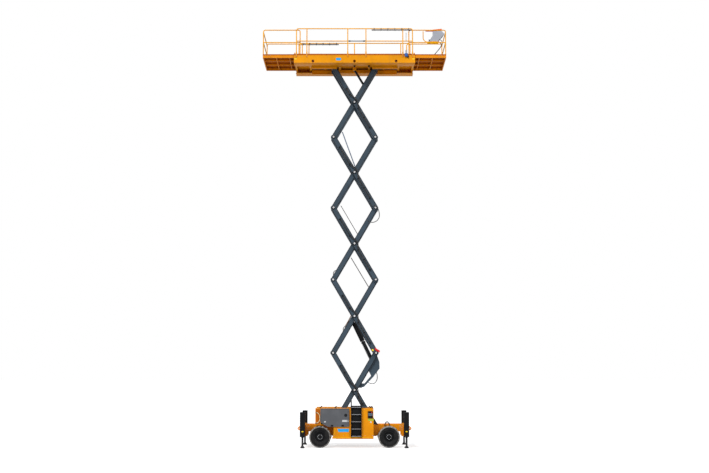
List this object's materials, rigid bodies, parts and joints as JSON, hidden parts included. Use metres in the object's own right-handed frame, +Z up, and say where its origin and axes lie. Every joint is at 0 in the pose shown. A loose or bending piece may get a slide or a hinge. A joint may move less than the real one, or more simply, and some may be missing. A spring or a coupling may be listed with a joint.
{
  "type": "rough-terrain scissor lift",
  "caption": "Self-propelled rough-terrain scissor lift, raised, with a railed deck extended at both ends, stabilisers down and a folding arm stack.",
  "frame": {"origin": "on the ground under the middle of the machine, raised as stored", "axes": "+X towards the steered wheels, -Y the ladder side, +Z up"},
  "size_m": [7.362, 2.27, 16.5891],
  "materials": {
    "orange_paint": "satin",
    "arm_grey": "satin",
    "black_paint": "satin",
    "cover_grey": "satin",
    "steel": "satin",
    "tyre": "matte",
    "floor_grey": "matte",
    "console_grey": "satin"
  },
  "bodies": {
    "chassis": {"near_chassis_rail": "orange_paint", "far_chassis_rail": "orange_paint", "cross_members": "orange_paint", "end_beams": "orange_paint", "near_cabinet": "orange_paint", "far_cabinet": "orange_paint", "oil_tank": "black_paint", "engine_block": "black_paint", "ladder": "black_paint", "ground_control_box": "black_paint", "stabiliser_housings": "black_paint", "front_axle": "black_paint", "rear_axle": "black_paint"},
    "near_cover": {"near_cover": "cover_grey"},
    "far_cover": {"far_cover": "cover_grey"},
    "leg_front_near": {"leg_front_near": "steel"},
    "leg_front_far": {"leg_front_far": "steel"},
    "leg_rear_near": {"leg_rear_near": "steel"},
    "leg_rear_far": {"leg_rear_far": "steel"},
    "knuckle_near": {"knuckle_near": "black_paint"},
    "knuckle_far": {"knuckle_far": "black_paint"},
    "wheel_front_near": {"tyre_front_near": "tyre", "rim_front_near": "black_paint"},
    "wheel_front_far": {"tyre_front_far": "tyre", "rim_front_far": "black_paint"},
    "wheel_rear_near": {"tyre_rear_near": "tyre", "rim_rear_near": "black_paint"},
    "wheel_rear_far": {"tyre_rear_far": "tyre", "rim_rear_far": "black_paint"},
    "lower_link": {"lower_link": "black_paint"},
    "inner_1": {"inner_frame_1": "arm_grey"},
    "outer_1": {"outer_frame_1": "arm_grey"},
    "inner_2": {"inner_frame_2": "arm_grey"},
    "outer_2": {"outer_frame_2": "arm_grey"},
    "inner_3": {"inner_frame_3": "arm_grey"},
    "outer_3": {"outer_frame_3": "arm_grey"},
    "inner_4": {"inner_frame_4": "arm_grey"},
    "outer_4": {"outer_frame_4": "arm_grey"},
    "inner_5": {"inner_frame_5": "arm_grey"},
    "outer_5": {"outer_frame_5": "arm_grey"},
    "lift_barrel": {"lift_barrel": "black_paint"},
    "lift_rod": {"lift_rod": "steel"},
    "upper_link": {"upper_link": "black_paint"},
    "platform": {"deck_frame": "orange_paint", "deck_floor": "floor_grey", "guard_rails": "orange_paint", "outlet_box": "console_grey"},
    "entry_bar": {"entry_bar": "console_grey"},
    "left_extension": {"left_extension": "orange_paint", "left_extension_rails": "orange_paint"},
    "right_extension": {"right_extension": "orange_paint", "right_extension_rails": "orange_paint", "platform_console": "console_grey"}
  },
  "joints": [
    {"name": "lift", "type": "hinge", "parent": "chassis", "child": "lower_link", "pos_m": [0, 0, 0.745], "axis": [0, -1, 0], "range_deg": [0, 55.7]},
    {"name": "inner_1_hinge", "type": "hinge", "parent": "lower_link", "child": "inner_1", "pos_m": [-0.42065, 0, 1.46486], "axis": [0, -1, 0], "range_deg": [-111.4, 0]},
    {"name": "outer_1_hinge", "type": "hinge", "parent": "inner_1", "child": "outer_1", "pos_m": [0, 0, 2.18471], "axis": [0, -1, 0], "range_deg": [0, 111.4]},
    {"name": "outer_2_hinge", "type": "hinge", "parent": "inner_1", "child": "outer_2", "pos_m": [0.8413, 0, 3.62442], "axis": [0, -1, 0], "range_deg": [0, 111.4]},
    {"name": "inner_2_hinge", "type": "hinge", "parent": "outer_2", "child": "inner_2", "pos_m": [0, 0, 5.06414], "axis": [0, -1, 0], "range_deg": [-111.4, 0]},
    {"name": "inner_3_hinge", "type": "hinge", "parent": "outer_2", "child": "inner_3", "pos_m": [-0.8413, 0, 6.50385], "axis": [0, -1, 0], "range_deg": [-111.4, 0]},
    {"name": "outer_3_hinge", "type": "hinge", "parent": "inner_3", "child": "outer_3", "pos_m": [0, 0, 7.94356], "axis": [0, -1, 0], "range_deg": [0, 111.4]},
    {"name": "outer_4_hinge", "type": "hinge", "parent": "inner_3", "child": "outer_4", "pos_m": [0.8413, 0, 9.38327], "axis": [0, -1, 0], "range_deg": [0, 111.4]},
    {"name": "inner_4_hinge", "type": "hinge", "parent": "outer_4", "child": "inner_4", "pos_m": [0, 0, 10.82298], "axis": [0, -1, 0], "range_deg": [-111.4, 0]},
    {"name": "inner_5_hinge", "type": "hinge", "parent": "outer_4", "child": "inner_5", "pos_m": [-0.8413, 0, 12.2627], "axis": [0, -1, 0], "range_deg": [-111.4, 0]},
    {"name": "outer_5_hinge", "type": "hinge", "parent": "inner_5", "child": "outer_5", "pos_m": [0, 0, 13.70241], "axis": [0, -1, 0], "range_deg": [0, 111.4]},
    {"name": "upper_link_hinge", "type": "hinge", "parent": "inner_5", "child": "upper_link", "pos_m": [0.42065, 0, 14.42226], "axis": [0, -1, 0], "range_deg": [0, 111.4]},
    {"name": "platform_hinge", "type": "hinge", "parent": "upper_link", "child": "platform", "pos_m": [0, 0, 15.14212], "axis": [0, -1, 0], "range_deg": [-55.7, 0]},
    {"name": "cylinder_hinge", "type": "hinge", "parent": "inner_1", "child": "lift_barrel", "pos_m": [0.85736, 0, 2.97802], "axis": [0, -1, 0], "range_deg": [0, 99.59]},
    {"name": "cylinder_slide", "type": "slide", "parent": "lift_barrel", "child": "lift_rod", "axis": [-0.4339, 0, 0.901], "range_m": [-0.77714, 0]},
    {"name": "left_extension_slide", "type": "slide", "parent": "platform", "child": "left_extension", "axis": [1, 0, 0], "range_m": [0, 1.2]},
    {"name": "right_extension_slide", "type": "slide", "parent": "platform", "child": "right_extension", "axis": [-1, 0, 0], "range_m": [0, 1.2]},
    {"name": "entry_bar_slide", "type": "slide", "parent": "platform", "child": "entry_bar", "axis": [0, 0, 1], "range_m": [0, 0.43]},
    {"name": "near_cover_hinge", "type": "hinge", "parent": "chassis", "child": "near_cover", "pos_m": [-0.75, -1.04, 0.8], "axis": [1, 0, 0], "range_deg": [0, 90]},
    {"name": "far_cover_hinge", "type": "hinge", "parent": "chassis", "child": "far_cover", "pos_m": [-0.75, 1.04, 0.8], "axis": [-1, 0, 0], "range_deg": [0, 90]},
    {"name": "leg_front_near_slide", "type": "slide", "parent": "chassis", "child": "leg_front_near", "axis": [0, 0, 1], "range_m": [0, 0.3]},
    {"name": "leg_front_far_slide", "type": "slide", "parent": "chassis", "child": "leg_front_far", "axis": [0, 0, 1], "range_m": [0, 0.3]},
    {"name": "leg_rear_near_slide", "type": "slide", "parent": "chassis", "child": "leg_rear_near", "axis": [0, 0, 1], "range_m": [0, 0.3]},
    {"name": "leg_rear_far_slide", "type": "slide", "parent": "chassis", "child": "leg_rear_far", "axis": [0, 0, 1], "range_m": [0, 0.3]},
    {"name": "steer_near", "type": "hinge", "parent": "chassis", "child": "knuckle_near", "pos_m": [1.32, -0.67, 0.415], "axis": [0, 0, 1], "range_deg": [-30, 30]},
    {"name": "steer_far", "type": "hinge", "parent": "chassis", "child": "knuckle_far", "pos_m": [1.32, 0.67, 0.415], "axis": [0, 0, 1], "range_deg": [-30, 30]},
    {"name": "wheel_front_near_spin", "type": "hinge", "parent": "knuckle_near", "child": "wheel_front_near", "pos_m": [1.32, -0.885, 0.415], "axis": [0, 1, 0], "continuous": true},
    {"name": "wheel_front_far_spin", "type": "hinge", "parent": "knuckle_far", "child": "wheel_front_far", "pos_m": [1.32, 0.885, 0.415], "axis": [0, 1, 0], "continuous": true},
    {"name": "wheel_rear_near_spin", "type": "hinge", "parent": "chassis", "child": "wheel_rear_near", "pos_m": [-1.32, -0.885, 0.415], "axis": [0, 1, 0], "continuous": true},
    {"name": "wheel_rear_far_spin", "type": "hinge", "parent": "chassis", "child": "wheel_rear_far", "pos_m": [-1.32, 0.885, 0.415], "axis": [0, 1, 0], "continuous": true}
  ],
  "couplings": [
    {"joint": "inner_1_hinge", "follows": "lift", "ratio": -2},
    {"joint": "outer_1_hinge", "follows": "lift", "ratio": 2},
    {"joint": "outer_2_hinge", "follows": "lift", "ratio": 2},
    {"joint": "inner_2_hinge", "follows": "lift", "ratio": -2},
    {"joint": "inner_3_hinge", "follows": "lift", "ratio": -2},
    {"joint": "outer_3_hinge", "follows": "lift", "ratio": 2},
    {"joint": "outer_4_hinge", "follows": "lift", "ratio": 2},
    {"joint": "inner_4_hinge", "follows": "lift", "ratio": -2},
    {"joint": "inner_5_hinge", "follows": "lift", "ratio": -2},
    {"joint": "outer_5_hinge", "follows": "lift", "ratio": 2},
    {"joint": "upper_link_hinge", "follows": "lift", "ratio": 2},
    {"joint": "platform_hinge", "follows": "lift", "ratio": -1},
    {"joint": "cylinder_hinge", "follows": "lift", "ratio": 1.7879},
    {"joint": "cylinder_slide", "follows": "lift", "m_per_rad": -0.79941},
    {"joint": "steer_far", "follows": "steer_near", "ratio": 1}
  ]
}
